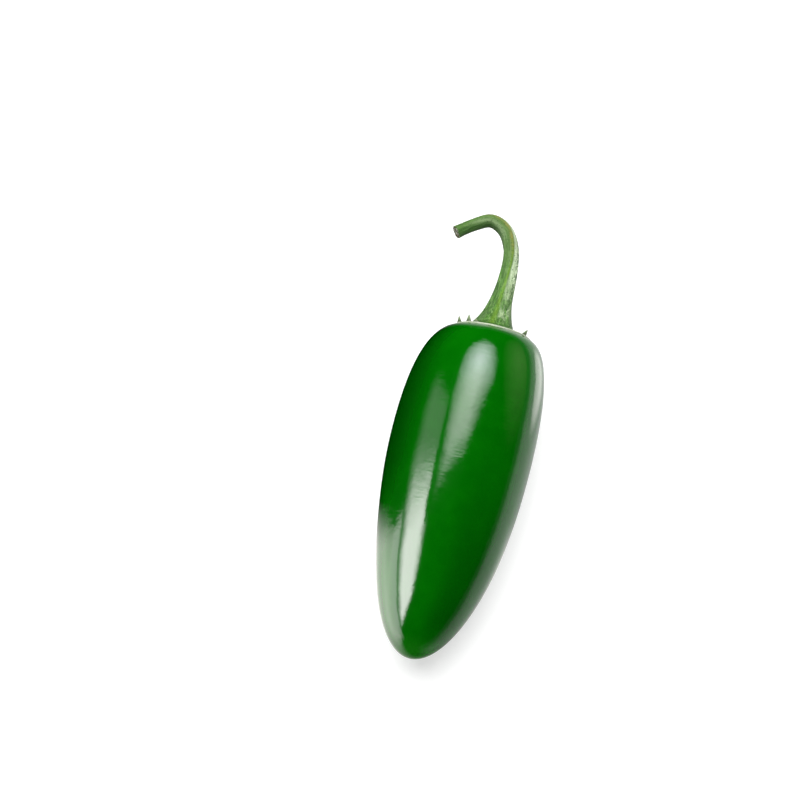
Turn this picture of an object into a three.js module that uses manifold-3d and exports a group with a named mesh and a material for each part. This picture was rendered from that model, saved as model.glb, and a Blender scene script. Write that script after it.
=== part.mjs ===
// Green chilli pepper of the jalapeno type, lying on its side.
// Millimetres, +Z up. +Y runs from the blunt tip of the fruit towards the stem.
// The origin is the middle of the small flat spot that the belly rests on.
import * as THREE from 'three';
import { mergeVertices } from 'three/addons/utils/BufferGeometryUtils.js';
import Module from 'manifold-3d';

const wasm = await Module();
wasm.setup();

const { sin, cos, sqrt, exp, max, min, PI } = Math;
const rad = THREE.MathUtils.degToRad;

// Fruit
const podLength = 75.1;
const podRadius = 16;
const noseReach = 0.664;
const shoulderPower = 10.65;
const shoulderRound = 0.177;
const tipLean = -0.83;
const shoulderLean = 0.8;
const crownLean = 0.45;
const tiltAngle = rad(4.3);
const flatDepth = 0.3;
const podRings = 46;
const podColumns = 44;

// Seat of the calyx on the shoulder
const seatRadius = 9.3;
const seatStep = 0.42;
const seatDish = 0.35;

// Calyx
const gap = 0.3;
const calyxRadius = 8.75;
const calyxEdge = 0.72;
const calyxCrown = 0.3;
const calyxColumns = 48;
const toothSink = 0.35;
const toothInset = 0.12;
const toothDepth = 0.65;

// Each tooth: angle round the rim from the top towards +X, width, height, outward lean
const teeth = [
  [-68, 1.4, 1.5, 18],
  [-42, 1.15, 1.5, 14],
  [-28, 1, 0.85, 14],
  [57, 1.25, 1.35, 30],
  [112, 1.3, 1.2, 24],
  [176, 1.2, 1.4, 16],
  [238, 1.4, 1.3, 20],
];

// Stem
const stemEndRadius = 1.24;
const stemTaper = 1.6;
const stemTaperReach = 14;
const footFlare = 2.6;
const footFlareReach = 3.4;
const bendSwell = 0.14;
const bendPlace = 23.5;
const bendReach = 5;
const cutSwell = 0.14;
const stemRidges = 5;
const ridgeHeight = 0.06;
const ridgeStart = rad(-28);
const ridgeTwist = rad(115);
const stemRings = 44;
const stemColumns = 30;

// Frame of the fruit: along its axis, up from its axis and to its right
const axisDirection = new THREE.Vector3(0, cos(tiltAngle), sin(tiltAngle));
const upDirection = new THREE.Vector3(0, -sin(tiltAngle), cos(tiltAngle));
const rightDirection = new THREE.Vector3(1, 0, 0);

// Radius of the fruit at a share t of its length, 0 at the tip and 1 at the top of the shoulder
function podRadiusAt(t) {
  const nose = sqrt(max(t * (2 * noseReach - t), 0)) / noseReach;
  return podRadius * nose * max(1 - t ** shoulderPower, 0) ** shoulderRound;
}

// Sideways drift of the fruit's middle line
function podLeanAt(t) {
  const nose = tipLean * max(1 - t / 0.45, 0) ** 2;
  const shoulder = shoulderLean * max((t - 0.5) / 0.5, 0) ** 2;
  const crown = crownLean * max((t - 0.85) / 0.15, 0) ** 2;
  return nose + shoulder + crown;
}

// The shoulder closes in to the seat's edge at this share of the length
function findSeatShare() {
  let low = 0.9;
  let high = 1;
  for (let step = 0; step < 40; step += 1) {
    const middle = (low + high) / 2;
    if (podRadiusAt(middle) > seatRadius) low = middle;
    else high = middle;
  }
  return low;
}
const seatShare = findSeatShare();
const seatLevel = seatShare * podLength;

// Height of the seat's dished floor at a distance from its middle
function seatFloorAt(r) {
  return seatLevel - seatStep - seatDish * (1 - (r / seatRadius) ** 2);
}

// Lowest point of the fruit, which becomes the origin once the flat spot is pressed in
function findContact() {
  let lowest = { height: 0, along: 0 };
  for (let step = 0; step <= 2000; step += 1) {
    const t = step / 2000;
    const height = t * podLength * sin(tiltAngle) - podRadiusAt(t) * cos(tiltAngle);
    const along = t * podLength * cos(tiltAngle) + podRadiusAt(t) * sin(tiltAngle);
    if (height < lowest.height) lowest = { height, along };
  }
  return lowest;
}
const contact = findContact();
const tipPoint = new THREE.Vector3(0, -contact.along, -contact.height - flatDepth);

// Point of the part from right, along and up distances measured at the tip
function place(right, along, up) {
  return tipPoint.clone()
    .addScaledVector(rightDirection, right)
    .addScaledVector(axisDirection, along)
    .addScaledVector(upDirection, up);
}

// Closed solid through rings of points, from a start point to an end point
function ringedSolid(start, rings, end) {
  const count = rings[0].length;
  const points = [start, ...rings.flat(), end];
  const last = points.length - 1;
  const faces = [];
  for (let j = 0; j < count; j += 1) {
    const k = (j + 1) % count;
    faces.push(0, 1 + k, 1 + j);
    for (let i = 0; i + 1 < rings.length; i += 1) {
      const low = 1 + i * count;
      const high = low + count;
      faces.push(low + j, low + k, high + k);
      faces.push(low + j, high + k, high + j);
    }
    const top = 1 + (rings.length - 1) * count;
    faces.push(last, top + j, top + k);
  }
  const geometry = new THREE.BufferGeometry();
  geometry.setAttribute('position', new THREE.Float32BufferAttribute(points.flatMap((p) => p.toArray()), 3));
  geometry.setIndex(faces);
  return geometry;
}

// Ring round the fruit's axis, at a radius and a distance along
function axisRing(middle, radius, along, columns) {
  const ring = [];
  for (let j = 0; j < columns; j += 1) {
    const angle = (2 * PI * j) / columns;
    ring.push(place(middle + radius * sin(angle), along, radius * cos(angle)));
  }
  return ring;
}

// Fruit: one solid from tip to seat, with the flat spot pressed into its belly
function buildPod() {
  const rings = [];
  for (let i = 1; i <= podRings; i += 1) {
    const t = (seatShare * (1 - cos((PI * i) / podRings))) / 2;
    rings.push(axisRing(podLeanAt(t), podRadiusAt(t), t * podLength, podColumns));
  }
  const middle = podLeanAt(1);
  for (const share of [0.965, 0.9, 0.6, 0.3]) {
    const r = share * seatRadius;
    const floor = share > 0.95 ? seatLevel - seatStep * 0.5 : seatFloorAt(r);
    rings.push(axisRing(middle, r, floor, podColumns));
  }
  for (const point of rings.flat()) point.z = max(point.z, 0);
  return ringedSolid(place(tipLean, 0, 0), rings, place(middle, seatFloorAt(0), 0));
}

// Calyx: a thin saucer in the seat with small teeth standing on its rim
const calyxTop = seatFloorAt(calyxRadius) + gap + calyxEdge;
const crownLevel = calyxTop + calyxCrown;
const calyxMiddle = podLeanAt(1);

function saucerSolid() {
  const floor = (share) => seatFloorAt(share * calyxRadius) + gap;
  const profile = [
    [0.35, floor(0.35)],
    [0.7, floor(0.7)],
    [0.94, floor(0.94)],
    [0.99, floor(1) + 0.12],
    [1, floor(1) + calyxEdge * 0.5],
    [0.985, calyxTop - 0.1],
    [0.95, calyxTop],
    [0.8, calyxTop + calyxCrown * 0.35],
    [0.6, crownLevel],
    [0.3, crownLevel],
  ];
  const rings = profile.map(([share, along]) => {
    return axisRing(calyxMiddle, share * calyxRadius, along, calyxColumns);
  });
  return ringedSolid(place(calyxMiddle, floor(0), 0), rings, place(calyxMiddle, crownLevel, 0));
}

// Tooth: a flattened cone, its root sunk in the rim and its point leaning outwards
function toothSolid([degrees, width, height, leanDegrees]) {
  const full = height + toothSink;
  const angle = rad(degrees);
  const lean = rad(leanDegrees);
  const cone = new THREE.ConeGeometry(0.5, full, 8);
  cone.translate(0, full / 2 - toothSink, 0);
  const spread = (width * full) / height;
  cone.scale(spread, 1, spread * toothDepth);
  const outward = upDirection.clone().multiplyScalar(cos(angle)).addScaledVector(rightDirection, sin(angle));
  const point = axisDirection.clone().multiplyScalar(cos(lean)).addScaledVector(outward, sin(lean));
  const across = new THREE.Vector3().crossVectors(point, outward).normalize();
  const facing = new THREE.Vector3().crossVectors(across, point);
  const reach = calyxRadius - toothInset - (spread * toothDepth) / 2;
  const root = place(calyxMiddle + reach * sin(angle), calyxTop, reach * cos(angle));
  cone.applyMatrix4(new THREE.Matrix4().makeBasis(across, point, facing).setPosition(root));
  return cone;
}

function toManifold(geometry) {
  const bare = new THREE.BufferGeometry();
  bare.setAttribute('position', geometry.getAttribute('position').clone());
  if (geometry.index) bare.setIndex(geometry.index.clone());
  const merged = mergeVertices(bare, 1e-4);
  return new wasm.Manifold(new wasm.Mesh({
    numProp: 3,
    vertProperties: new Float32Array(merged.getAttribute('position').array),
    triVerts: new Uint32Array(merged.index.array),
  }));
}

function fromManifold(solid) {
  const mesh = solid.getMesh();
  const geometry = new THREE.BufferGeometry();
  geometry.setAttribute('position', new THREE.Float32BufferAttribute(mesh.vertProperties, 3));
  geometry.setIndex([...mesh.triVerts]);
  return geometry;
}

function buildCalyx() {
  let solid = toManifold(saucerSolid());
  for (const tooth of teeth) solid = solid.add(toManifold(toothSolid(tooth)));
  return fromManifold(solid);
}

// Middle line of the stem: straight off the calyx, then a hook towards -X
const footLevel = crownLevel + gap;
const stemLine = new THREE.CatmullRomCurve3([
  place(1.2, footLevel, 0),
  place(1.6, 81.5, 0),
  place(1.85, 87.5, 0.2),
  place(1.25, 93.8, 0.55),
  place(-0.92, 98.28, 0.9),
  place(-4.45, 99.8, 1.45),
  place(-8, 97.85, 2.2),
  place(-11.5, 95.05, 3.1),
]);

// Stem radius at a distance from its foot: a wide foot, a slow taper, a fuller bend and a swollen cut end
function stemRadiusAt(distance, length) {
  const taper = stemTaper * exp(-distance / stemTaperReach);
  const flare = footFlare * exp(-distance / footFlareReach);
  const bend = bendSwell * exp(-(((distance - bendPlace) / bendReach) ** 2));
  const swell = cutSwell * exp((distance - length) / 1.2);
  return stemEndRadius + taper + flare + bend + swell;
}

function buildStem() {
  const length = stemLine.getLength();
  const rings = [];
  for (let i = 0; i <= stemRings; i += 1) {
    const share = (i / stemRings) ** 1.25;
    const middle = stemLine.getPointAt(share);
    const along = i === 0 ? axisDirection.clone() : stemLine.getTangentAt(share);
    const side = new THREE.Vector3().crossVectors(along, upDirection).normalize();
    const rise = new THREE.Vector3().crossVectors(side, along);
    const radius = stemRadiusAt(share * length, length);
    const turn = ridgeStart + ridgeTwist * share ** 1.5;
    const ring = [];
    for (let j = 0; j < stemColumns; j += 1) {
      const angle = (2 * PI * j) / stemColumns;
      const r = radius * (1 + ridgeHeight * cos(stemRidges * (angle - turn)));
      ring.push(middle.clone().addScaledVector(rise, r * cos(angle)).addScaledVector(side, r * sin(angle)));
    }
    rings.push(ring);
  }
  return ringedSolid(stemLine.getPointAt(0), rings, stemLine.getPointAt(1));
}

function piece(name, geometry, colour, roughness) {
  geometry.computeVertexNormals();
  const mesh = new THREE.Mesh(geometry, new THREE.MeshStandardMaterial({ color: colour, roughness, metalness: 0 }));
  mesh.name = name;
  return mesh;
}

const part = new THREE.Group();
part.name = 'chilli_pepper';
part.add(piece('pod', buildPod(), 0x0b6a0c, 0.2));
part.add(piece('calyx', buildCalyx(), 0x7fa365, 0.55));
part.add(piece('stem', buildStem(), 0x6c9a4a, 0.55));

export default part;
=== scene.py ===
import math
import bmesh
import bpy
from mathutils import Matrix, Vector, noise


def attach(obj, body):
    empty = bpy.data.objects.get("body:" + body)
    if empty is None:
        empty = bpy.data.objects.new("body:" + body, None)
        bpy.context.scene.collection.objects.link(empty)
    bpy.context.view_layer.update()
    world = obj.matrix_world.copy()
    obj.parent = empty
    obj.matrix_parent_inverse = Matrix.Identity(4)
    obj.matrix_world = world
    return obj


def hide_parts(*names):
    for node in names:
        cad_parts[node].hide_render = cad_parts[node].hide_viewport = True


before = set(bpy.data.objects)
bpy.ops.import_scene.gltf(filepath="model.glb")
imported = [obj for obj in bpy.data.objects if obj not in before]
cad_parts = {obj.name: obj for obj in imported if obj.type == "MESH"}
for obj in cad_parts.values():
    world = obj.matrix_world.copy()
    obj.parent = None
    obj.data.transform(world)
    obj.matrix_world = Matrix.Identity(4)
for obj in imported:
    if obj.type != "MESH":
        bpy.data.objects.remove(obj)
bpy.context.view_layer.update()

mm = 0.001
scene = bpy.context.scene

# the fruit's own measures: y runs along it from the tip and z is up
# it lies with its shoulder raised a little
fruit = {
    "length": 75.1 * mm,
    "radius": 16 * mm,
    "noseReach": 0.664,  # how far along the nose still widens, against the length
    "shoulderPower": 10.65,
    "shoulderRound": 0.177,
    "tipLean": -0.83 * mm,  # how far the middle line leans to the right at the tip, shoulder and crown
    "shoulderLean": 0.8 * mm,
    "crownLean": 0.45 * mm,
    "noseEnd": 0.45,  # where these leans end or start, as shares of the length
    "shoulderStart": 0.5,
    "crownStart": 0.85,
    "tilt": math.radians(4.3),
    "flatDepth": 0.3 * mm,
    "seatRadius": 9.3 * mm,
    "seatStep": 0.42 * mm,
    "seatDish": 0.35 * mm,
    "seatFill": 0.27 * mm,  # skin closes up to the calyx
    "rings": 150,
    "sides": 168,
    "waveHeight": 0.07 * mm,  # slow unevenness of the skin
    "waveLength": 13 * mm,
    "waveRise": 0.1,  # the waves grow over this share from the tip and fade again up to the shoulder
    "waveEnd": 0.97,
    "waveFall": 0.08,
}


def podRadius(t):
    nose = math.sqrt(max(t * (2 * fruit["noseReach"] - t), 0)) / fruit["noseReach"]
    return fruit["radius"] * nose * max(1 - t ** fruit["shoulderPower"], 0) ** fruit["shoulderRound"]


def podLean(t):
    nose = max(1 - t / fruit["noseEnd"], 0)
    shoulder = max((t - fruit["shoulderStart"]) / (1 - fruit["shoulderStart"]), 0)
    crown = max((t - fruit["crownStart"]) / (1 - fruit["crownStart"]), 0)
    lean = fruit["tipLean"] * nose ** 2 + fruit["shoulderLean"] * shoulder ** 2
    return lean + fruit["crownLean"] * crown ** 2


def findSeatShare():
    low, high = 0.9, 1.0
    for step in range(40):
        middle = (low + high) / 2
        if podRadius(middle) > fruit["seatRadius"]:
            low = middle
        else:
            high = middle
    return low


seatShare = findSeatShare()
seatLevel = seatShare * fruit["length"]


def seatFloor(r):
    return seatLevel - fruit["seatStep"] - fruit["seatDish"] * (1 - (r / fruit["seatRadius"]) ** 2)


def fruitPlace():
    # lowest point of the tilted fruit goes over the origin, sunk by the flat spot
    lowest, along = 0, 0
    tilt = fruit["tilt"]
    steps = 2000
    for step in range(steps + 1):
        t = step / steps
        height = t * fruit["length"] * math.sin(tilt) - podRadius(t) * math.cos(tilt)
        if height < lowest:
            lowest = height
            along = t * fruit["length"] * math.cos(tilt) + podRadius(t) * math.sin(tilt)
    tip = Vector((0, -along, -lowest - fruit["flatDepth"]))
    return Matrix.Translation(tip) @ Matrix.Rotation(tilt, 4, "X")


fruitMatrix = fruitPlace()
calyxMiddle = podLean(1)


# shared mesh helpers

def ease(value, low, high):
    share = min(max((value - low) / (high - low), 0), 1)
    return share * share * (3 - 2 * share)


def band(value, low, full, leaving, gone):
    # rises from low to full and falls again from leaving to gone
    return ease(value, low, full) * (1 - ease(value, leaving, gone))


def hump(value, middle, width):
    return math.exp(-((value - middle) / width) ** 2)


def strand(bm, points):
    # a line of edges, pulled out point by point from one vertex
    last = bm.verts.new(points[0])
    line = [last]
    for point in points[1:]:
        pulled = bmesh.ops.extrude_vert_indiv(bm, verts=[last])["verts"][0]
        pulled.co = point
        last = pulled
        line.append(last)
    return line


def turnedShell(bm, profile, sides):
    # profile holds (distance along y, radius); spun into a closed shell
    line = strand(bm, [Vector((0, along, radius)) for along, radius in profile])
    edges = [edge for edge in bm.edges if edge.verts[0] in line and edge.verts[1] in line]
    bmesh.ops.spin(bm, geom=line + edges, cent=(0, 0, 0), axis=(0, 1, 0), dvec=(0, 0, 0),
                   angle=2 * math.pi, steps=sides, use_merge=True, use_duplicate=False)
    bmesh.ops.remove_doubles(bm, verts=bm.verts, dist=1e-7)


def meshFrom(bm, name):
    mesh = bpy.data.meshes.new(name)
    bm.to_mesh(mesh)
    bm.free()
    item = bpy.data.objects.new(name, mesh)
    scene.collection.objects.link(item)
    return item


def finishPiece(bm, name, node, material):
    bmesh.ops.recalc_face_normals(bm, faces=bm.faces)
    for face in bm.faces:
        face.smooth = True
    piece = meshFrom(bm, name)
    piece.data.materials.append(material)
    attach(piece, "root")
    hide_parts(node)
    print(name, "has", len(piece.data.polygons), "faces")


# shared shader helpers

def addNode(tree, kind, **settings):
    node = tree.nodes.new(kind)
    for key, value in settings.items():
        setattr(node, key, value)
    return node


def join(tree, source, target):
    tree.links.new(source, target)


def newMaterial(name):
    material = bpy.data.materials.new(name)
    material.use_nodes = True
    tree = material.node_tree
    return material, tree, tree.nodes["Principled BSDF"]


def mixColours(tree, first, second, factor):
    mix = addNode(tree, "ShaderNodeMix", data_type="RGBA")
    for socket, value in ((mix.inputs[6], first), (mix.inputs[7], second)):
        if isinstance(value, tuple):
            socket.default_value = (*value, 1)
        else:
            join(tree, value, socket)
    join(tree, factor, mix.inputs[0])
    return mix.outputs[2]


def tint(tree, colour, other, mask, amount):
    return mixColours(tree, colour, other, addMath(tree, "MULTIPLY", mask, amount))


def setInputs(shader, **values):
    # each value goes on the shader's own socket, with an underscore for a space in its name
    for name, value in values.items():
        shader.inputs[name.replace("_", " ")].default_value = value


def readMask(tree, name):
    return addNode(tree, "ShaderNodeAttribute", attribute_name=name).outputs["Fac"]


def readPlace(tree):
    return addNode(tree, "ShaderNodeTexCoord").outputs["Object"]


def splitPlace(tree, where):
    split = addNode(tree, "ShaderNodeSeparateXYZ")
    join(tree, where, split.inputs[0])
    return split.outputs


def farFrom(tree, where, point):
    away = addNode(tree, "ShaderNodeVectorMath", operation="DISTANCE")
    join(tree, where, away.inputs[0])
    away.inputs[1].default_value = point
    return away.outputs["Value"]


def makePatchGroup():
    # soft cloudy mask, used to vary the green of every piece
    group = bpy.data.node_groups.new("greenPatches", "ShaderNodeTree")
    for name, value in (("Size", 0.01), ("Stretch", 1.0), ("Low", 0.35), ("High", 0.65)):
        socket = group.interface.new_socket(name=name, in_out="INPUT", socket_type="NodeSocketFloat")
        socket.default_value = value
    group.interface.new_socket(name="Vector", in_out="INPUT", socket_type="NodeSocketVector")
    group.interface.new_socket(name="Mask", in_out="OUTPUT", socket_type="NodeSocketFloat")
    entry = addNode(group, "NodeGroupInput")
    leave = addNode(group, "NodeGroupOutput")
    squeeze = addNode(group, "ShaderNodeCombineXYZ")
    squeeze.inputs[0].default_value = 1
    squeeze.inputs[1].default_value = 1
    join(group, entry.outputs["Stretch"], squeeze.inputs[2])
    scaled = addNode(group, "ShaderNodeVectorMath", operation="MULTIPLY")
    join(group, entry.outputs["Vector"], scaled.inputs[0])
    join(group, squeeze.outputs[0], scaled.inputs[1])
    perSize = addNode(group, "ShaderNodeMath", operation="DIVIDE")
    perSize.inputs[0].default_value = 1
    join(group, entry.outputs["Size"], perSize.inputs[1])
    cloud = addNode(group, "ShaderNodeTexNoise", noise_dimensions="3D")
    cloud.inputs["Detail"].default_value = 3
    join(group, scaled.outputs[0], cloud.inputs["Vector"])
    join(group, perSize.outputs[0], cloud.inputs["Scale"])
    spread = addNode(group, "ShaderNodeMapRange", interpolation_type="SMOOTHSTEP")
    join(group, cloud.outputs["Fac"], spread.inputs["Value"])
    join(group, entry.outputs["Low"], spread.inputs["From Min"])
    join(group, entry.outputs["High"], spread.inputs["From Max"])
    join(group, spread.outputs["Result"], leave.inputs["Mask"])
    return group


patchGroup = makePatchGroup()


def addPatches(tree, vector, size, low=0.35, high=0.65, stretch=1.0):
    node = addNode(tree, "ShaderNodeGroup", node_tree=patchGroup)
    node.inputs["Size"].default_value = size
    node.inputs["Stretch"].default_value = stretch
    node.inputs["Low"].default_value = low
    node.inputs["High"].default_value = high
    join(tree, vector, node.inputs["Vector"])
    return node.outputs["Mask"]


def addRange(tree, value, fromMin, fromMax, toMin=0.0, toMax=1.0, soft=True):
    node = addNode(tree, "ShaderNodeMapRange", interpolation_type="SMOOTHSTEP" if soft else "LINEAR")
    join(tree, value, node.inputs["Value"])
    for name, number in (("From Min", fromMin), ("From Max", fromMax), ("To Min", toMin), ("To Max", toMax)):
        node.inputs[name].default_value = number
    return node.outputs["Result"]


def addMath(tree, operation, first, second=None, third=None):
    node = addNode(tree, "ShaderNodeMath", operation=operation)
    for index, value in enumerate((first, second, third)):
        if value is None:
            continue
        if isinstance(value, (int, float)):
            node.inputs[index].default_value = value
        else:
            join(tree, value, node.inputs[index])
    return node.outputs[0]


def roundFade(tree, where, centre, half, turn=0):
    # one at the centre, falling evenly to nothing at the rim
    mapping = addNode(tree, "ShaderNodeMapping", vector_type="TEXTURE")
    mapping.inputs["Location"].default_value = centre
    mapping.inputs["Rotation"].default_value = (0, 0, math.radians(turn))
    mapping.inputs["Scale"].default_value = half
    join(tree, where, mapping.inputs["Vector"])
    fade = addNode(tree, "ShaderNodeTexGradient", gradient_type="SPHERICAL")
    join(tree, mapping.outputs[0], fade.inputs["Vector"])
    return fade.outputs["Fac"]


def addBump(tree, height, distance, strength, before=None):
    node = addNode(tree, "ShaderNodeBump")
    node.inputs["Strength"].default_value = strength
    node.inputs["Distance"].default_value = distance
    join(tree, height, node.inputs["Height"])
    if before is not None:
        join(tree, before, node.inputs["Normal"])
    return node.outputs["Normal"]


# pod

podFinish = {
    "green": (0.0002, 0.09, 0.0002),
    "deepGreen": (0.0001, 0.076, 0.0002),
    "freshGreen": (0.0008, 0.1, 0.0002),
    "paintedShadeGreen": (0.0001, 0.037, 0.0004),  # painted shade: darker green of the left and right flanks, where less light falls
    "paintedLightGreen": (0.006, 0.145, 0.003),  # painted light: brighter green at the tip and the low left side, where light bounces up from the table
    "paintedCollarHighlight": (0.07, 0.14, 0.055),  # painted highlight: a paler ring of skin against the calyx, where the shoulder's edge catches the light
    "collarRange": (0.985, 0.9965),
    "roughness": 0.35,
    "coatRoughness": 0.09,
    "coatIor": 1.5,
    # size of the patches and the low and high ends of their mask
    "broad": (22 * mm, 0.3, 0.7),
    "fine": (4 * mm, 0.35, 0.75),
    "ripple": (3.8 * mm, 0.3, 0.7),
    "rippleDepth": 0.02 * mm,
    "crease": (2.8 * mm, 0.3, 0.7),
    "creaseSqueeze": 5,  # creases run across the fruit
    "creaseDepth": 0.008 * mm,
}

# where the painted shade of the flanks and the painted light of the tip and low left side lie: from and to,
# across the fruit (1 is its right side) or along it (0 is the tip)
podPaintedShadeAndLight = {
    "leftSide": (0.5, 0.95),
    "leftAlong": (0.38, 0.56),
    "leftAmount": 0.8,
    "rightSide": (-0.05, 0.5),
    "rightStart": (0.03, 0.12),
    "rightEnd": (0.15, 0.8),
    "rightRim": (0.75, 0.95),
    "rightAmount": 0.6,
    "lowSide": (0.5, 0.85),
    "lowEnd": (0.2, 0.36),
    "lowAmount": 0.7,
    "tipEnd": (0, 0.07),
}


def makePodMaterial():
    material, tree, skin = newMaterial("podSkin")
    where = readPlace(tree)
    broad = addPatches(tree, where, *podFinish["broad"])
    fine = addPatches(tree, where, *podFinish["fine"])
    colour = mixColours(tree, podFinish["deepGreen"], podFinish["green"], broad)
    colour = tint(tree, colour, podFinish["freshGreen"], fine, 0.5)
    # painted shade: the flanks darken towards the deep green
    left = addMath(tree, "MULTIPLY", readMask(tree, "leftPaintedShade"), podPaintedShadeAndLight["leftAmount"])
    right = addMath(tree, "MULTIPLY", readMask(tree, "rightPaintedShade"), podPaintedShadeAndLight["rightAmount"])
    colour = mixColours(tree, colour, podFinish["paintedShadeGreen"], addMath(tree, "MAXIMUM", left, right))
    # painted light: the tip and low left side turn a brighter green
    colour = mixColours(tree, colour, podFinish["paintedLightGreen"], readMask(tree, "paintedLightShare"))
    # painted highlight: paler ring where the shoulder meets the calyx
    paintedCollarHighlight = addRange(tree, readMask(tree, "alongShare"), *podFinish["collarRange"])
    colour = mixColours(tree, colour, podFinish["paintedCollarHighlight"], paintedCollarHighlight)
    join(tree, colour, skin.inputs["Base Color"])
    setInputs(skin, Roughness=podFinish["roughness"], Specular_IOR_Level=0, Coat_Weight=1,
              Coat_Roughness=podFinish["coatRoughness"], Coat_IOR=podFinish["coatIor"])
    ripple = addPatches(tree, where, *podFinish["ripple"])
    squeezed = addNode(tree, "ShaderNodeMapping")
    squeezed.inputs["Scale"].default_value = (1, podFinish["creaseSqueeze"], 1)
    join(tree, where, squeezed.inputs["Vector"])
    crease = addPatches(tree, squeezed.outputs[0], *podFinish["crease"])
    bumped = addBump(tree, ripple, podFinish["rippleDepth"], 0.8)
    bumped = addBump(tree, addMath(tree, "MULTIPLY", crease, fine), podFinish["creaseDepth"], 1, bumped)
    join(tree, bumped, skin.inputs["Coat Normal"])
    join(tree, bumped, skin.inputs["Normal"])
    return material


def paintPodShadeAndLight(t, side):
    # how much painted shade on the left and right flanks, and painted light at the tip and low left side, a
    # place on the skin has
    left = ease(-side, *podPaintedShadeAndLight["leftSide"]) * ease(t, *podPaintedShadeAndLight["leftAlong"])
    rim = 1 - 0.8 * ease(side, *podPaintedShadeAndLight["rightRim"])
    right = ease(side, *podPaintedShadeAndLight["rightSide"]) * rim
    right *= band(t, *podPaintedShadeAndLight["rightStart"], *podPaintedShadeAndLight["rightEnd"])
    low = ease(-side, *podPaintedShadeAndLight["lowSide"]) * (1 - ease(t, *podPaintedShadeAndLight["lowEnd"]))
    return left, right, max(1 - ease(t, *podPaintedShadeAndLight["tipEnd"]), podPaintedShadeAndLight["lowAmount"] * low)


def makePod():
    profile = []
    for step in range(fruit["rings"] + 1):
        t = seatShare * (1 - math.cos(math.pi * step / fruit["rings"])) / 2
        profile.append((t * fruit["length"], podRadius(t)))
    lip = fruit["seatRadius"]
    poleReach = 0.2 * mm  # nearer to the middle line than this, a point has no side
    profile.append((seatLevel - 0.05 * mm, lip - 0.22 * mm))
    profile.append((seatLevel - 0.13 * mm, lip - 0.5 * mm))
    for share in (0.9, 0.75, 0.55, 0.35, 0.15, 0):
        profile.append((seatFloor(share * lip) + fruit["seatFill"], share * lip))
    bm = bmesh.new()
    turnedShell(bm, profile, fruit["sides"])
    leftShadeLayer = bm.verts.layers.float.new("leftPaintedShade")
    rightShadeLayer = bm.verts.layers.float.new("rightPaintedShade")
    paintedLightLayer = bm.verts.layers.float.new("paintedLightShare")
    alongLayer = bm.verts.layers.float.new("alongShare")
    for vert in bm.verts:
        t = min(vert.co.y / fruit["length"], 1)
        out = Vector((vert.co.x, 0, vert.co.z))
        vert[alongLayer] = t / seatShare
        vert[paintedLightLayer] = 1
        if out.length > poleReach:
            vert[leftShadeLayer], vert[rightShadeLayer], vert[paintedLightLayer] = paintPodShadeAndLight(t, vert.co.x / out.length)
        if out.length > poleReach and t < fruit["waveEnd"]:
            calm = min(t / fruit["waveRise"], 1) * min((fruit["waveEnd"] - t) / fruit["waveFall"], 1)
            wave = noise.noise(vert.co / fruit["waveLength"] + Vector((3.1, 0.4, 7.7)))
            vert.co += out.normalized() * wave * fruit["waveHeight"] * calm
        vert.co.x += podLean(t if vert.co.y < seatLevel - 0.01 * mm else 1)
    bmesh.ops.transform(bm, matrix=fruitMatrix, verts=bm.verts)
    for vert in bm.verts:
        vert.co.z = max(vert.co.z, 0)
    finishPiece(bm, "podSkin", "pod", makePodMaterial())


makePod()


# calyx

calyx = {
    "gap": 0.3 * mm,
    "radius": 8.75 * mm,
    "edge": 0.72 * mm,
    "crown": 0.3 * mm,
    "sides": 420,
    "toothDepth": 0.65,
    "toothSpread": 1.3,  # roots run out wider than the points
    "toothTall": 1.15,  # the points stand a little above the solid's
    "toothCurve": 0.85,
    "toothInset": 0.1 * mm,
    # angle round the rim from the top towards +x, width, height, outward lean
    "teeth": [
        (-68, 1.4 * mm, 1.5 * mm, 18),
        (-42, 1.15 * mm, 1.5 * mm, 14),
        (-28, 1.0 * mm, 0.85 * mm, 14),
        (57, 1.25 * mm, 1.35 * mm, 30),
        (112, 1.3 * mm, 1.2 * mm, 24),
        (176, 1.2 * mm, 1.4 * mm, 16),
        (238, 1.4 * mm, 1.3 * mm, 20),
    ],
    "green": (0.085, 0.15, 0.055),
    "deep": (0.02, 0.05, 0.012),
    "lip": (0.36, 0.4, 0.3),  # painted highlight: pale top edge of the rim, where it catches the light from above
    "tooth": (0.1, 0.15, 0.06),
    "toothEdge": (0.035, 0.06, 0.018),
    "cloudSize": 2.5 * mm,
    "lipPatchSize": 0.9 * mm,
    "grainSize": 0.6 * mm,
    "grainDepth": 0.08 * mm,
}

calyxTop = seatFloor(calyx["radius"]) + calyx["gap"] + calyx["edge"]
crownLevel = calyxTop + calyx["crown"]


def makeCalyxMaterial():
    material, tree, flesh = newMaterial("calyxFlesh")
    where = readPlace(tree)
    edge = addRange(tree, readMask(tree, "edgeShare"), 0.35, 0.65)
    tooth = readMask(tree, "toothShare")
    colour = tint(tree, calyx["green"], calyx["deep"], addPatches(tree, where, calyx["cloudSize"]), 0.5)
    # painted highlight on the top edge of the rim, broken up in patches
    lipHighlight = addMath(tree, "MULTIPLY", addRange(tree, readMask(tree, "rimShare"), 0.955, 0.98), edge)
    lipBreakup = addRange(tree, addPatches(tree, where, calyx["lipPatchSize"]), 0, 1, 0.7, 1)
    lipHighlight = addMath(tree, "MULTIPLY", lipHighlight, lipBreakup)
    colour = mixColours(tree, colour, calyx["lip"], lipHighlight)
    colour = mixColours(tree, colour, calyx["toothEdge"], addRange(tree, tooth, 0.0, 0.06))
    colour = mixColours(tree, colour, calyx["tooth"], addRange(tree, tooth, 0.1, 0.35))
    join(tree, colour, flesh.inputs["Base Color"])
    setInputs(flesh, Roughness=0.5)
    grain = addPatches(tree, where, calyx["grainSize"])
    join(tree, addBump(tree, grain, calyx["grainDepth"], 0.4), flesh.inputs["Normal"])
    return material


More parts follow.
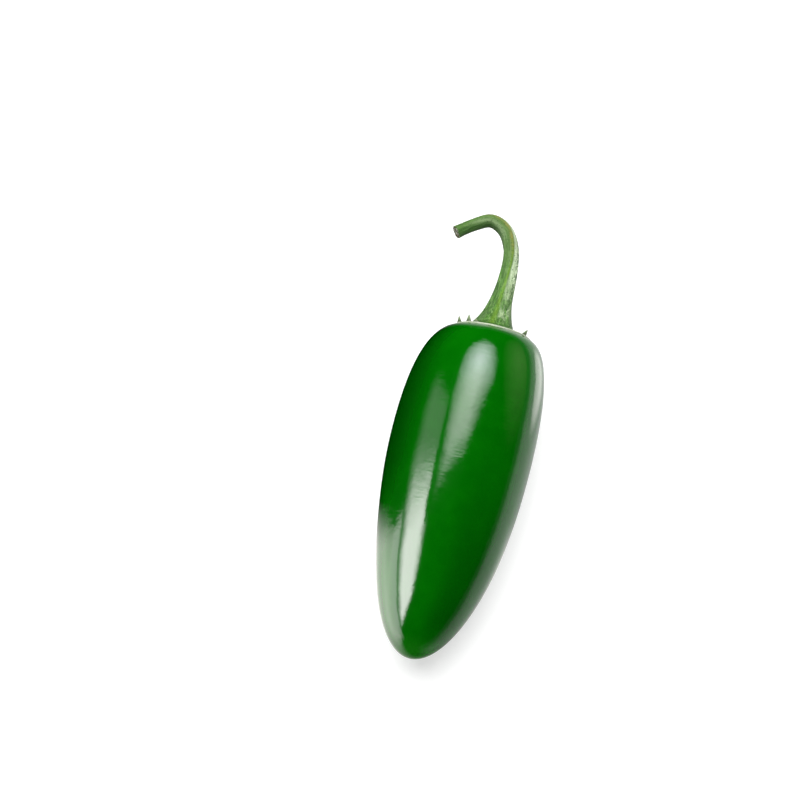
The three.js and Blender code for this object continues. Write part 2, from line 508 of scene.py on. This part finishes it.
def makeCalyx():
    reach = calyx["radius"]
    fit = 0.02 * mm

    def under(share):
        return seatFloor(share * reach) + calyx["gap"]

    profile = [(under(share), share * reach) for share in (0, 0.2, 0.4, 0.6, 0.8, 0.9)]
    profile += [
        (under(0.95) + fit, 0.95 * reach),
        (under(1) + 0.06 * mm, 0.982 * reach),
        (under(1) + 0.17 * mm, 0.996 * reach),
        (under(1) + 0.36 * mm, reach),
        (calyxTop - 0.16 * mm, 0.997 * reach),
        (calyxTop - 0.06 * mm, 0.986 * reach),
        (calyxTop - 0.01 * mm, 0.972 * reach),
    ]
    for share in (0.958, 0.945, 0.932, 0.919, 0.906, 0.893, 0.88, 0.865, 0.85, 0.82, 0.78, 0.74, 0.7):
        lift = ease(0.95 - share, 0, 0.35)
        profile.append((calyxTop + lift * calyx["crown"], share * reach))
    profile += [(crownLevel, share * reach) for share in (0.6, 0.45, 0.3, 0.15, 0)]
    bm = bmesh.new()
    turnedShell(bm, profile, calyx["sides"])
    rimLayer = bm.verts.layers.float.new("rimShare")
    toothLayer = bm.verts.layers.float.new("toothShare")
    edgeLayer = bm.verts.layers.float.new("edgeShare")
    for vert in bm.verts:
        r = math.hypot(vert.co.x, vert.co.z)
        vert[rimLayer] = r / reach
        vert[edgeLayer] = min(max((vert.co.y - under(1)) / (calyxTop - under(1)), 0), 1)
        if r < 0.8 * reach or vert.co.y < calyxTop - 0.1 * mm:
            continue
        angle = math.atan2(vert.co.x, vert.co.z)
        for degrees, width, height, lean in calyx["teeth"]:
            turn = (angle - math.radians(degrees) + math.pi) % (2 * math.pi) - math.pi
            across = abs(turn) * reach / (width * calyx["toothSpread"] / 2)
            halfDeep = width * calyx["toothDepth"] / 2
            inward = abs(r - (reach - calyx["toothInset"] - halfDeep)) / halfDeep
            rise = 1 - math.hypot(across, inward)
            if rise <= 0:
                continue
            out = Vector((vert.co.x, 0, vert.co.z)).normalized()
            point = Vector((0, math.cos(math.radians(lean)), 0)) + out * math.sin(math.radians(lean))
            vert[toothLayer] = max(vert[toothLayer], rise)
            vert.co += point * height * calyx["toothTall"] * rise ** calyx["toothCurve"]
    bmesh.ops.translate(bm, verts=bm.verts, vec=(calyxMiddle, 0, 0))
    bmesh.ops.transform(bm, matrix=fruitMatrix, verts=bm.verts)
    finishPiece(bm, "calyxSaucer", "calyx", makeCalyxMaterial())


makeCalyx()


# stem

stem = {
    # right, along and up from the tip of the fruit
    "path": [
        (1.2 * mm, 0, 0),
        (1.6 * mm, 81.5 * mm, 0),
        (1.85 * mm, 87.5 * mm, 0.2 * mm),
        (1.25 * mm, 93.8 * mm, 0.55 * mm),
        (-0.92 * mm, 98.28 * mm, 0.9 * mm),
        (-4.45 * mm, 99.8 * mm, 1.45 * mm),
        (-8 * mm, 97.85 * mm, 2.2 * mm),
        (-11.5 * mm, 95.05 * mm, 3.1 * mm),
    ],
    "foot": crownLevel + 0.3 * mm,
    "rootSink": 0.38 * mm,  # the foot goes this far down, into the saucer
    "soften": 36,  # steps on each side that even out the bend
    "endRadius": 1.24 * mm,
    "taper": 1.6 * mm,
    "taperReach": 14 * mm,
    "flare": 2.6 * mm,
    "flareReach": 3.4 * mm,
    "bendSwell": 0.14 * mm,
    "bendPlace": 23.5 * mm,
    "bendReach": 5 * mm,
    "swell": 0.14 * mm,
    "ridges": 5,
    "ridgeHeight": 0.072,
    "ridgeStart": math.radians(-28),
    "ridgeTwist": math.radians(115),
    "rings": 220,
    "sides": 120,
    "green": (0.075, 0.2, 0.03),
    "hook": (0.052, 0.112, 0.02),  # painted shade: duller, darker green beyond the bend
    "pale": (0.33, 0.43, 0.24),  # painted light: paler face that looks right and up
    "palest": (0.55, 0.66, 0.44),
    "gleam": (0.2, 0.27, 0.14),  # painted highlight: paler band inside the bend
    "line": (0.11, 0.22, 0.015),  # yellow green line along the main ridge
    "thread": (0.2, 0.3, 0.12),  # fine pale lines along it
    "dark": (0.022, 0.072, 0.009),  # dark green of the streaks and furrows, and painted shade on the underside of the hook and at the foot
    "speck": (0.02, 0.06, 0.012),
    "warm": (0.22, 0.19, 0.05),  # rusty tinge outside the bend
    "cut": (0.07, 0.065, 0.025),
    "pith": (0.42, 0.44, 0.34),
    "pithSize": 0.5 * mm,
    "grooveDepth": 0.16 * mm,
    "grain": 0.035 * mm,
    "ragged": 0.16 * mm,  # unevenness of the cut
    "bunching": 1.15,  # the rings stand closer at the foot
    "endReach": 1.2 * mm,  # length of the swelling at the cut
}

# size, low and high ends of the mask, and stretch along the stem
stemGrain = {
    "streak": (0.6 * mm, 0.35, 0.7, 0.1),
    "thread": (0.32 * mm, 0.42, 0.62, 0.1),
    "furrow": (0.4 * mm, 0.46, 0.56, 0.07),
    "blotch": (1 * mm, 0.4, 0.54, 0.3),
    "bark": (0.3 * mm, 0.44, 0.53, 0.5),
}
stemSpots = {
    "speck": (0.32 * mm, 0.55, 0.64),
    "cloud": (1.4 * mm, 0.35, 0.65),
}

# how the colour changes along the stem: from and to in metres from the foot, then the two amounts; the hook
# row darkens as painted shade, the blotchy, whole and palest rows spread painted light, the root row is
# painted shade at the foot
stemAlong = {
    "hook": (10 * mm, 18 * mm, 0, 0.75),
    "thread": (10 * mm, 18 * mm, 0.5, 0.2),
    "furrow": (9 * mm, 18 * mm, 0.85, 0.2),
    "blotchy": (1 * mm, 3.5 * mm, 0, 0.85),
    "whole": (5 * mm, 12 * mm, 0, 0.9),
    "palest": (8 * mm, 14 * mm, 0, 1),
    "root": (1 * mm, 0, 0, 0.75),
}

stemMasks = ("mainRidge", "paintedLightFace", "paintedShadeFace", "gleam", "barkEdge", "warmBend", "cutFace")


def curvePoint(points, p):
    # a smooth curve through the points, which holds no loops, p from 0 to their count less one
    start = min(int(p), len(points) - 2)
    weight = p - start
    p1, p2 = points[start], points[start + 1]
    p0 = points[start - 1] if start > 0 else 2 * p1 - p2
    p3 = points[start + 2] if start + 2 < len(points) else 2 * p2 - p1
    d0, d1, d2 = ((b - a).length ** 0.5 for a, b in ((p0, p1), (p1, p2), (p2, p3)))
    t1 = ((p1 - p0) / d0 - (p2 - p0) / (d0 + d1) + (p2 - p1) / d1) * d1
    t2 = ((p2 - p1) / d1 - (p3 - p1) / (d1 + d2) + (p3 - p2) / d2) * d1
    c2 = 3 * (p2 - p1) - 2 * t1 - t2
    c3 = 2 * (p1 - p2) + t1 + t2
    return p1 + t1 * weight + c2 * weight ** 2 + c3 * weight ** 3


def measureStem():
    points = [Vector(point) for point in stem["path"]]
    points[0].y = stem["foot"]
    count = 900
    rough = [curvePoint(points, i * (len(points) - 1) / count) for i in range(count + 1)]
    line = []
    for i in range(count + 1):
        span = min(i, count - i, stem["soften"])
        line.append(sum(rough[i - span:i + span + 1], Vector()) / (2 * span + 1))
    far = [0.0]
    for first, second in zip(line, line[1:]):
        far.append(far[-1] + (second - first).length)
    return line, far


def stemAt(line, far, distance):
    # middle and direction of the stem at a distance from its foot
    if distance <= 0:
        return line[0] + Vector((0, distance, 0)), Vector((0, 1, 0))
    low, high = 0, len(far) - 1
    while high - low > 1:
        middle = (low + high) // 2
        if far[middle] <= distance:
            low = middle
        else:
            high = middle
    share = (distance - far[low]) / (far[high] - far[low])
    before = line[max(low - 3, 0)]
    after = line[min(high + 3, len(line) - 1)]
    return line[low].lerp(line[high], share), (after - before).normalized()


def stemRadius(distance, length):
    taper = stem["taper"] * math.exp(-distance / stem["taperReach"])
    flare = stem["flare"] * math.exp(-distance / stem["flareReach"])
    swell = stem["swell"] * math.exp((distance - length) / stem["endReach"])
    bend = stem["bendSwell"] * math.exp(-((distance - stem["bendPlace"]) / stem["bendReach"]) ** 2)
    return stem["endRadius"] + taper + flare + bend + swell


def makeStemMaterial():
    material, tree, flesh = newMaterial("stemFlesh")
    where = readPlace(tree)
    straight = addNode(tree, "ShaderNodeAttribute", attribute_name="straight").outputs["Vector"]
    masks = {name: readMask(tree, name) for name in stemMasks}
    far = splitPlace(tree, straight)[2]  # metres from the foot
    grain = {name: addPatches(tree, straight, *values) for name, values in stemGrain.items()}
    spots = {name: addPatches(tree, where, *values) for name, values in stemSpots.items()}
    along = {name: addRange(tree, far, *values) for name, values in stemAlong.items()}

    colour = tint(tree, stem["green"], stem["dark"], grain["streak"], 0.42)
    # painted shade: the stem turns a duller, darker green beyond the bend
    colour = mixColours(tree, colour, stem["hook"], along["hook"])
    colour = tint(tree, colour, stem["thread"], grain["thread"], along["thread"])
    colour = tint(tree, colour, stem["dark"], grain["furrow"], along["furrow"])
    # painted shade on the underside of the hook
    colour = tint(tree, colour, stem["dark"], masks["paintedShadeFace"], 0.75)

    # painted light: the face that looks right and up is paler, blotchy at the foot and whole further up
    litFaceSpread = addMath(tree, "MULTIPLY", grain["blotch"], along["blotchy"])
    litFaceSpread = addMath(tree, "MAXIMUM", litFaceSpread, along["whole"])
    litFaceSpread = addMath(tree, "MULTIPLY", litFaceSpread, addRange(tree, grain["thread"], 0, 1, 0.68, 1))
    pale = mixColours(tree, stem["pale"], stem["palest"], along["palest"])
    colour = tint(tree, colour, pale, masks["paintedLightFace"], litFaceSpread)
    # painted highlight inside the bend
    colour = tint(tree, colour, stem["gleam"], masks["gleam"], 0.5)
    colour = tint(tree, colour, stem["line"], masks["mainRidge"], 0.7)
    cloudy = addRange(tree, spots["cloud"], 0, 1, 0.3, 0.75)
    colour = tint(tree, colour, stem["warm"], masks["warmBend"], cloudy)

    rough = addMath(tree, "MULTIPLY", spots["speck"], addRange(tree, spots["cloud"], 0, 1, 0.3, 0.8))
    bark = addMath(tree, "MULTIPLY", grain["bark"], masks["barkEdge"])
    rough = addMath(tree, "MAXIMUM", rough, bark)
    colour = mixColours(tree, colour, stem["speck"], rough)
    # painted shade: darker where the foot meets the calyx
    colour = mixColours(tree, colour, stem["dark"], along["root"])
    pith = mixColours(tree, stem["cut"], stem["pith"], addPatches(tree, where, stem["pithSize"], 0.45, 0.6))
    colour = mixColours(tree, colour, pith, masks["cutFace"])
    join(tree, colour, flesh.inputs["Base Color"])
    setInputs(flesh, Roughness=0.5, Specular_IOR_Level=0.2)
    height = addMath(tree, "SUBTRACT", grain["thread"], addMath(tree, "MULTIPLY", spots["speck"], 0.6))
    join(tree, addBump(tree, height, stem["grooveDepth"], 0.6), flesh.inputs["Normal"])
    return material


def shadeStem(phase, part):
    # phase is in degrees from the main ridge, part is the share of the length
    lead = 1 + 20 * (1 - ease(part, 0, 0.35))
    barkShare = 0.45 + 0.55 * ease(part, 0.1, 0.4)
    return {
        "mainRidge": hump(phase, lead, 8) * (1 - ease(part, 0.55, 0.8)),
        # painted light on the face that looks right and up
        "paintedLightFace": band(phase, lead + 4, lead + 18, 66, 84) * (1 - ease(part, 0.62, 0.8)),
        # painted shade on the underside of the hook
        "paintedShadeFace": band(phase, -170, -130, -95, -62) * ease(part, 0.45, 0.8),
        # painted highlight inside the bend
        "gleam": hump(phase, -60, 20) * band(part, 0.54, 0.68, 0.82, 0.97),
        "barkEdge": band(phase, 38, 60, 100, 130) * (1 - ease(part, 0.5, 0.68)) * barkShare,
        "warmBend": hump(phase, 0, 16) * band(part, 0.45, 0.58, 0.72, 0.85),
    }


def makeStem():
    line, far = measureStem()
    length = far[-1]
    bm = bmesh.new()
    bmesh.ops.create_circle(bm, cap_ends=False, radius=1, segments=stem["sides"])
    ring = list(bm.edges)
    # a straight tube one unit wide, z as the share of the length
    for step in range(stem["rings"]):
        pulled = bmesh.ops.extrude_edge_only(bm, edges=ring)["geom"]
        ring = [item for item in pulled if isinstance(item, bmesh.types.BMEdge)]
        moved = [item for item in pulled if isinstance(item, bmesh.types.BMVert)]
        bmesh.ops.translate(bm, verts=moved, vec=(0, 0, 1 / stem["rings"]))
    caps = bmesh.ops.holes_fill(bm, edges=[edge for edge in bm.edges if edge.is_boundary], sides=0)["faces"]
    end = max(caps, key=lambda face: face.calc_center_median().z)
    root = min(caps, key=lambda face: face.calc_center_median().z)
    layers = {name: bm.verts.layers.float.new(name) for name in stemMasks}
    straightLayer = bm.verts.layers.float_vector.new("straight")
    # a dry rim round the cut and a sunken pith
    for width, depth in ((0.14, 0.006), (0.12, -0.012), (0.3, -0.004), (0.2, 0.008)):
        bmesh.ops.inset_region(bm, faces=[end], thickness=width, depth=0, use_even_offset=True)
        for vert in end.verts:
            vert[layers["cutFace"]] = 1
            vert.co.z += depth
    bmesh.ops.poke(bm, faces=[end, root])
    for vert in bm.verts:
        share = min(max(vert.co.z, 0), 1)
        past = (vert.co.z - share) * length
        distance = share ** stem["bunching"] * (length + stem["rootSink"]) - stem["rootSink"]
        middle, along = stemAt(line, far, distance)
        side = along.cross(Vector((0, 0, 1))).normalized()
        rise = side.cross(along)
        angle = math.atan2(vert.co.y, vert.co.x)
        reach = math.hypot(vert.co.x, vert.co.y)
        part = max(distance, 0) / length
        turn = stem["ridgeStart"] + stem["ridgeTwist"] * part ** 1.5
        crest = math.cos(stem["ridges"] * (angle - turn))
        sharp = 2 * ((crest + 1) / 2) ** 1.5 - 1
        radius = stemRadius(max(distance, 0), length)
        ridge = stem["ridgeHeight"] * (1 - 0.7 * ease(part, 0.45, 0.75))  # they fade towards the cut end
        r = reach * radius * (1 + ridge * sharp)
        grain = noise.noise(Vector((math.cos(angle) * 4, math.sin(angle) * 4, distance / (5 * mm))))
        r += reach * grain * stem["grain"]
        ragged = noise.noise(Vector((math.cos(angle) * 2.5, math.sin(angle) * 2.5, 3.3)))
        past += ragged * stem["ragged"] * ease(share, 0.97, 1)
        phase = math.degrees((angle - turn + math.pi) % (2 * math.pi) - math.pi)
        vert[straightLayer] = Vector((math.cos(angle) * radius, math.sin(angle) * radius, distance))
        for name, value in shadeStem(phase, part).items():
            vert[layers[name]] = value
        vert.co = middle + (rise * math.cos(angle) + side * math.sin(angle)) * r + along * past
    bmesh.ops.transform(bm, matrix=fruitMatrix, verts=bm.verts)
    finishPiece(bm, "stemHook", "stem", makeStemMaterial())


makeStem()


# floor

floor = {
    "half": 2.5,
    "white": (0.5, 0.5, 0.5),
    "offWhite": (0.49, 0.49, 0.49),
    "lift": 0.57,  # the table is lit from below a little
    "sheenHalf": 0.6,
    "sheenRise": 0.00002,
    "sheenLight": 5.4,  # lit sweep of table that the skin mirrors at front left
    "sheenColour": (1, 0.94, 0.94, 1),
    "sheenBack": (-0.0105, 0.08),  # back edge of the sweep: y where x is 0, and its slope
    "backSoft": (-0.0085, 0.005),
    "backSlow": (-0.004, 0.03, 0.62, 1),
    "sheenFront": (0.0174, 0.68),  # front edge: x where y is 0, and its slope
    "frontSoft": (-0.028, 0.025),
    "underPlace": (0, -0.022, 0),  # under the fruit the sweep is dimmer
    "underRange": (0.015, 0.06, 0.42, 1),
    "nearPlace": (0.045, 0.022, 0),  # the table right of the fruit is a paler mirror near this place
    "nearRange": (0.03, 0.14, 0.55, 0.08),
    "nearEdge": (-0.01, 0.012),
    "nearSlope": 0.25,
    "rimSpot": (0.043, 0.042, 0.022, 2.3),  # x, y, radius and glow of the patch that the shoulder mirrors
}


def makeTableMaterial():
    material, tree, paper = newMaterial("paleTable")
    fleck = addPatches(tree, readPlace(tree), 0.002)
    join(tree, mixColours(tree, floor["white"], floor["offWhite"], fleck), paper.inputs["Base Color"])
    setInputs(paper, Roughness=0.9, Specular_IOR_Level=0, Emission_Color=(1, 1, 1, 1),
              Emission_Strength=floor["lift"])
    return material


def makeSheenMaterial():
    # what the glossy skin sees of the table
    material, tree, paper = newMaterial("tableSheen")
    where = readPlace(tree)
    x, y, z = splitPlace(tree, where)
    start, slope = floor["sheenBack"]
    back = addMath(tree, "SUBTRACT", addMath(tree, "MULTIPLY_ADD", x, slope, start), y)
    start, slope = floor["sheenFront"]
    front = addMath(tree, "SUBTRACT", addMath(tree, "MULTIPLY_ADD", y, slope, start), x)
    sweep = addRange(tree, back, *floor["backSoft"])
    sweep = addMath(tree, "MULTIPLY", sweep, addRange(tree, front, *floor["frontSoft"]))
    sweep = addMath(tree, "MULTIPLY", sweep, addRange(tree, back, *floor["backSlow"], soft=False))
    under = addRange(tree, farFrom(tree, where, floor["underPlace"]), *floor["underRange"])
    glow = addMath(tree, "MULTIPLY", addMath(tree, "MULTIPLY", sweep, under), floor["sheenLight"])
    spotX, spotY, spotRadius, spotGlow = floor["rimSpot"]
    spot = roundFade(tree, where, (spotX, spotY, 0), (spotRadius, spotRadius, 1))
    glow = addMath(tree, "ADD", glow, addRange(tree, spot, 0, 0.5, 0, spotGlow))
    join(tree, glow, paper.inputs["Emission Strength"])
    near = addRange(tree, farFrom(tree, where, floor["nearPlace"]), *floor["nearRange"])
    right = addRange(tree, addMath(tree, "MULTIPLY_ADD", y, floor["nearSlope"], x), *floor["nearEdge"])
    shade = addNode(tree, "ShaderNodeCombineColor")
    pale = addMath(tree, "MULTIPLY", near, right)
    for name in ("Red", "Green", "Blue"):
        join(tree, pale, shade.inputs[name])
    join(tree, shade.outputs[0], paper.inputs["Base Color"])
    setInputs(paper, Roughness=0.9, Specular_IOR_Level=0, Emission_Color=floor["sheenColour"])
    return material


def layFloor(name, height, half, material):
    bm = bmesh.new()
    place = Matrix.Translation((0, 0, height))
    bmesh.ops.create_grid(bm, x_segments=2, y_segments=2, size=half, matrix=place)
    sheet = meshFrom(bm, name)
    sheet.data.materials.append(material)
    return sheet


table = layFloor("paleTable", 0, floor["half"], makeTableMaterial())
table.visible_glossy = False
sheen = layFloor("tableSheen", floor["sheenRise"], floor["sheenHalf"], makeSheenMaterial())
sheen.visible_camera = sheen.visible_diffuse = sheen.visible_shadow = sheen.visible_transmission = False
print("floor laid")


# studio light

# the panels are what the gloss mirrors, and the key light is what lights the colours
studio = {
    "overhead": {
        "centre": (-0.045, 0.55, 0.9),
        "half": (0.57, 0.8),
        "turn": 11,
        "glow": 13.8,
        "colour": (0.97, 0.93, 1.06),
        "sidePoint": (0.03, -0.1),  # the slanting cut on the left: a point of it, its facing and its rise
        "sideFacing": (-0.74, 0.673),
        "sideRise": 36,
        "front": (-0.015, 0.28),  # the front cut: y where x is 0, and its slope
        "frontRise": 45,
        "tail": (-0.27, 0.06, 0.24, 2.35),  # x, y, radius and glow
        "tailColour": (0.99, 0.94, 0.97),
        "tailStart": (0.6, 0.2),
    },
    "left": {
        "x": -0.6,
        "front": -1.3,
        "back": 0.35,
        "top": 1.25,
        "glow": 16,
        "colour": (1, 0.93, 0.97),
        "frontEdge": (-0.8, -0.58),  # where the light starts and is full
        "skirt": (-0.2, 0.1, 1, 0.09),
        "backEdge": (0.31, 0.2),
        "lowEdge": (0.15, 0.36),
        "topEdge": (1.2, 0.69),
        "stripGlow": 5.5,  # dimmer strip near the table
        "stripFront": (-1.3, -0.4),
        "stripBack": (-0.04, -0.085),
        "stripTop": (0.19, 0.13),
    },
    "backCard": {
        "centre": (0.75, 0.58, 0.28),
        "half": (0.54, 0.6),
        "glow": 0.78,
        "colour": (1, 0.97, 0.6),
    },
    "key": {"centre": (-0.16, 0.33, 0.95), "size": 1.1, "watts": 21.5},
    "fill": 0.28,
    "dark": 0.002,
}


def makeGlow(name, colour):
    # a sheet that only glows, by the strength that its nodes give
    material = bpy.data.materials.new(name)
    material.use_nodes = True
    tree = material.node_tree
    tree.nodes.clear()
    lamp = addNode(tree, "ShaderNodeEmission")
    lamp.inputs["Color"].default_value = (*colour, 1)
    join(tree, lamp.outputs[0], addNode(tree, "ShaderNodeOutputMaterial").inputs["Surface"])
    return material, tree, lamp, readPlace(tree)


def hangPanel(name, matrix, half, material):
    bm = bmesh.new()
    bmesh.ops.create_grid(bm, x_segments=14, y_segments=14, size=1, matrix=Matrix.Diagonal((*half, 1, 1)))
    bmesh.ops.transform(bm, matrix=matrix, verts=bm.verts)
    panel = meshFrom(bm, name)
    panel.data.materials.append(material)
    panel.visible_camera = panel.visible_diffuse = panel.visible_shadow = False


def hangOverhead():
    # round and soft, cut off at the left and front, with a faint tail
    panel = studio["overhead"]
    material, tree, lamp, where = makeGlow("overheadGlow", panel["colour"])
    x, y, z = splitPlace(tree, where)
    fade = roundFade(tree, where, panel["centre"], (*panel["half"], 1000), panel["turn"])
    tailX, tailY, tailRadius, tailGlow = panel["tail"]
    tail = roundFade(tree, where, (tailX, tailY, panel["centre"][2]), (tailRadius, tailRadius, 1))
    whole = addMath(tree, "MULTIPLY_ADD", fade, panel["glow"], addMath(tree, "MULTIPLY", tail, tailGlow))
    away = addNode(tree, "ShaderNodeVectorMath", operation="SUBTRACT")
    away.inputs[1].default_value = (*panel["sidePoint"], 0)
    join(tree, where, away.inputs[0])
    inside = addNode(tree, "ShaderNodeVectorMath", operation="DOT_PRODUCT")
    inside.inputs[1].default_value = (*panel["sideFacing"], 0)
    join(tree, away.outputs[0], inside.inputs[0])
    start, slope = panel["front"]
    behind = addMath(tree, "SUBTRACT", y, addMath(tree, "MULTIPLY_ADD", x, slope, start))
    glow = whole
    for reach, rise in ((inside.outputs["Value"], panel["sideRise"]), (behind, panel["frontRise"])):
        cut = addMath(tree, "MAXIMUM", addMath(tree, "MULTIPLY", reach, rise), 0)
        glow = addMath(tree, "MINIMUM", glow, cut)
    join(tree, glow, lamp.inputs["Strength"])
    shift = addRange(tree, y, *panel["tailStart"])
    join(tree, mixColours(tree, panel["colour"], panel["tailColour"], shift), lamp.inputs["Color"])
    hangPanel("overheadPanel", Matrix.Translation(panel["centre"]), panel["half"], material)


def hangLeft():
    # a firm front edge, softer at the back and top, and a dimmer strip near the table
    panel = studio["left"]
    material, tree, lamp, where = makeGlow("leftGlow", panel["colour"])
    x, y, z = splitPlace(tree, where)
    glow = addRange(tree, y, *panel["skirt"])
    for place, name in ((y, "frontEdge"), (y, "backEdge"), (z, "lowEdge"), (z, "topEdge")):
        glow = addMath(tree, "MULTIPLY", glow, addRange(tree, place, *panel[name]))
    glow = addMath(tree, "MULTIPLY", glow, panel["glow"])
    strip = addMath(tree, "MULTIPLY", addRange(tree, z, *panel["stripTop"]), panel["stripGlow"])
    for name in ("stripFront", "stripBack"):
        strip = addMath(tree, "MULTIPLY", strip, addRange(tree, y, *panel[name]))
    join(tree, addMath(tree, "ADD", glow, strip), lamp.inputs["Strength"])
    centre = (panel["x"], (panel["front"] + panel["back"]) / 2, panel["top"] / 2)
    half = (panel["top"] / 2, (panel["back"] - panel["front"]) / 2)
    hangPanel("leftPanel", Matrix.Translation(centre) @ Matrix.Rotation(math.pi / 2, 4, "Y"), half, material)


def hangBackCard():
    card = studio["backCard"]
    material, tree, lamp, where = makeGlow("backCardGlow", card["colour"])
    across = card["half"][0]
    fade = roundFade(tree, where, card["centre"], (across, across, card["half"][1]))
    join(tree, addMath(tree, "MULTIPLY", fade, card["glow"]), lamp.inputs["Strength"])
    centre = Vector(card["centre"])
    facing = Vector((-centre.x, -centre.y, 0)).to_track_quat("Z", "Y").to_matrix().to_4x4()
    hangPanel("backCard", Matrix.Translation(centre) @ facing, card["half"], material)


def hangKey():
    key = studio["key"]
    data = bpy.data.lights.new("keyLight", "AREA")
    data.shape = "DISK"
    data.size = key["size"]
    data.energy = key["watts"]
    lamp = bpy.data.objects.new("keyLight", data)
    lamp.location = key["centre"]
    lamp.rotation_euler = (-Vector(key["centre"])).to_track_quat("-Z", "Y").to_euler()
    lamp.visible_camera = lamp.visible_glossy = False
    scene.collection.objects.link(lamp)


hangOverhead()
hangLeft()
hangBackCard()
hangKey()


def makeWorld():
    world = bpy.data.worlds.new("studioRoom")
    world.use_nodes = True
    tree = world.node_tree
    tree.nodes.clear()
    path = addNode(tree, "ShaderNodeLightPath")
    level = addMath(tree, "MULTIPLY", path.outputs["Is Diffuse Ray"], studio["fill"])
    level = addMath(tree, "ADD", level, studio["dark"])
    level = addMath(tree, "MAXIMUM", level, path.outputs["Is Camera Ray"])
    room = addNode(tree, "ShaderNodeBackground")
    room.inputs["Color"].default_value = (1, 1, 1, 1)
    join(tree, level, room.inputs["Strength"])
    join(tree, room.outputs[0], addNode(tree, "ShaderNodeOutputWorld").inputs["Surface"])
    scene.world = world


makeWorld()
scene.view_settings.view_transform = "Standard"
print("studio lit")


# camera

# as the photo was taken: from above, a little right of the tip, with a long lens
eye = {
    "turn": math.radians(12.806),
    "elevation": math.radians(74),
    "distance": 609.03 * mm,
    "target": (-16.642 * mm, 20.623 * mm, -0.3 * mm),
    "lens": 120,
}


def makeCamera():
    data = bpy.data.cameras.new("tableCamera")
    data.lens = eye["lens"]
    data.sensor_width = 36
    data.clip_start = 0.01
    camera = bpy.data.objects.new("tableCamera", data)
    turn, rise = eye["turn"], eye["elevation"]
    back = Vector((math.sin(turn) * math.cos(rise), -math.cos(turn) * math.cos(rise), math.sin(rise)))
    camera.location = Vector(eye["target"]) + back * eye["distance"]
    camera.rotation_euler = (math.pi / 2 - rise, 0, turn)
    scene.collection.objects.link(camera)
    bpy.context.scene.camera = camera


makeCamera()

bpy.context.view_layer.update()
